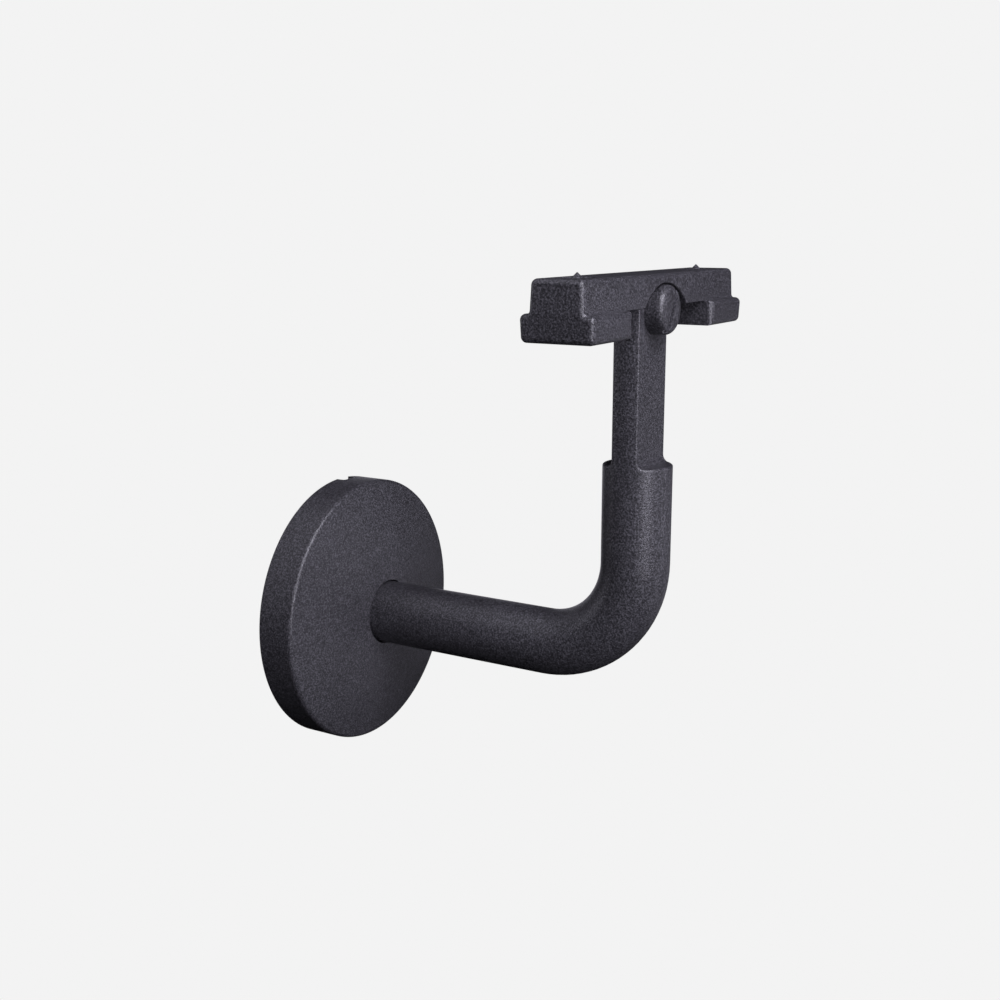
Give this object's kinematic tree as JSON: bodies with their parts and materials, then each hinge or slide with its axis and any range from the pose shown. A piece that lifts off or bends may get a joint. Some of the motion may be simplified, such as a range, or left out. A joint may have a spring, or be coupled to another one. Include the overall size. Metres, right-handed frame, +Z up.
{
  "type": "handrail bracket",
  "caption": "Wall bracket for a handrail: bent round bar on a covered plate, with a tilting T-section head that clamps in a grooved rail.",
  "frame": {"origin": "centre of the wall plate's back, on the wall face at the bar's axis", "axes": "+Z up, -Y out of the wall along the bar, X along the rail"},
  "size_m": [0.0706, 0.0816, 0.1087],
  "materials": {
    "arm_coat": "matt fine-textured graphite powder coat",
    "plate_coat": "matt fine-textured graphite powder coat",
    "rosette_coat": "matt fine-textured graphite powder coat",
    "head_coat": "matt fine-textured graphite powder coat",
    "pivot_coat": "matt fine-textured graphite powder coat",
    "screw_steel": "black oxide"
  },
  "bodies": {
    "bracket": {"wall_plate": "plate_coat", "arm": "arm_coat", "pivot_screw": "pivot_coat", "pivot_sleeve_nut": "pivot_coat"},
    "tilting_head": {"head": "head_coat", "set_screws": "screw_steel"},
    "rosette": {"cover_rosette": "rosette_coat"}
  },
  "joints": [
    {"name": "head_tilt", "type": "hinge", "parent": "bracket", "child": "tilting_head", "pos_m": [0, -0.0742, 0.07085], "axis": [0, 1, 0], "range_deg": [-40, 40]},
    {"name": "rosette_slide", "type": "slide", "parent": "bracket", "child": "rosette", "axis": [0, -1, 0], "range_m": [0, 0.041]}
  ]
}
